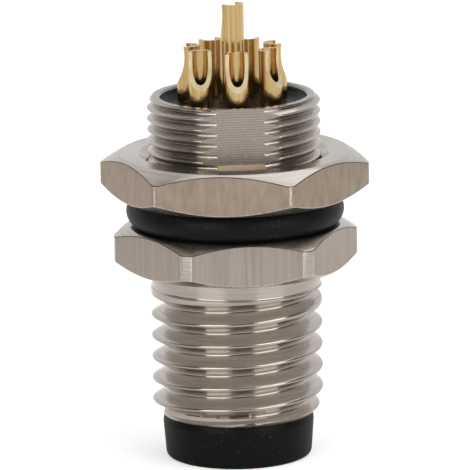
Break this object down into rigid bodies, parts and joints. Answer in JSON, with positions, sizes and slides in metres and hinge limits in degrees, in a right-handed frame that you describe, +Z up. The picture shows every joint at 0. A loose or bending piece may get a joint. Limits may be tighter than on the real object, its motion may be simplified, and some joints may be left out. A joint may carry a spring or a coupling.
{
  "type": "circular sensor connector",
  "caption": "Small round panel-mount connector with a coarse mating thread, hex flange, seal ring, lock nut on a fine rear thread, and gold solder cups.",
  "frame": {"origin": "centre of the mating face, the flat ring at the end of the black nose, on the connector's axis", "axes": "+Z up the axis from the mating end to the solder cups, -Y towards the side that the picture shows, +X to the right as seen there"},
  "size_m": [0.0124, 0.0114, 0.0212],
  "materials": {
    "nickel_shell": "nickel plated brass, turned and drawn",
    "nickel_nut": "nickel plated brass, satin",
    "seal_rubber": "matt moulded rubber",
    "carrier_plastic": "fine moulded black plastic",
    "compound": "cast black epoxy",
    "gold_contact": "gold plated brass"
  },
  "bodies": {
    "shell_body": {"shell": "nickel_shell", "seal_ring": "seal_rubber", "contact_carrier": "carrier_plastic", "sealing_compound": "compound", "contact_centre": "gold_contact", "contact_1": "gold_contact", "contact_2": "gold_contact", "contact_3": "gold_contact", "contact_4": "gold_contact", "contact_5": "gold_contact", "contact_6": "gold_contact", "contact_7": "gold_contact"},
    "nut_body": {"lock_nut": "nickel_nut"}
  },
  "joints": [
    {"name": "nut_run", "type": "slide", "parent": "shell_body", "child": "nut_body", "axis": [0, 0, 1], "range_m": [0, 0.009]}
  ]
}
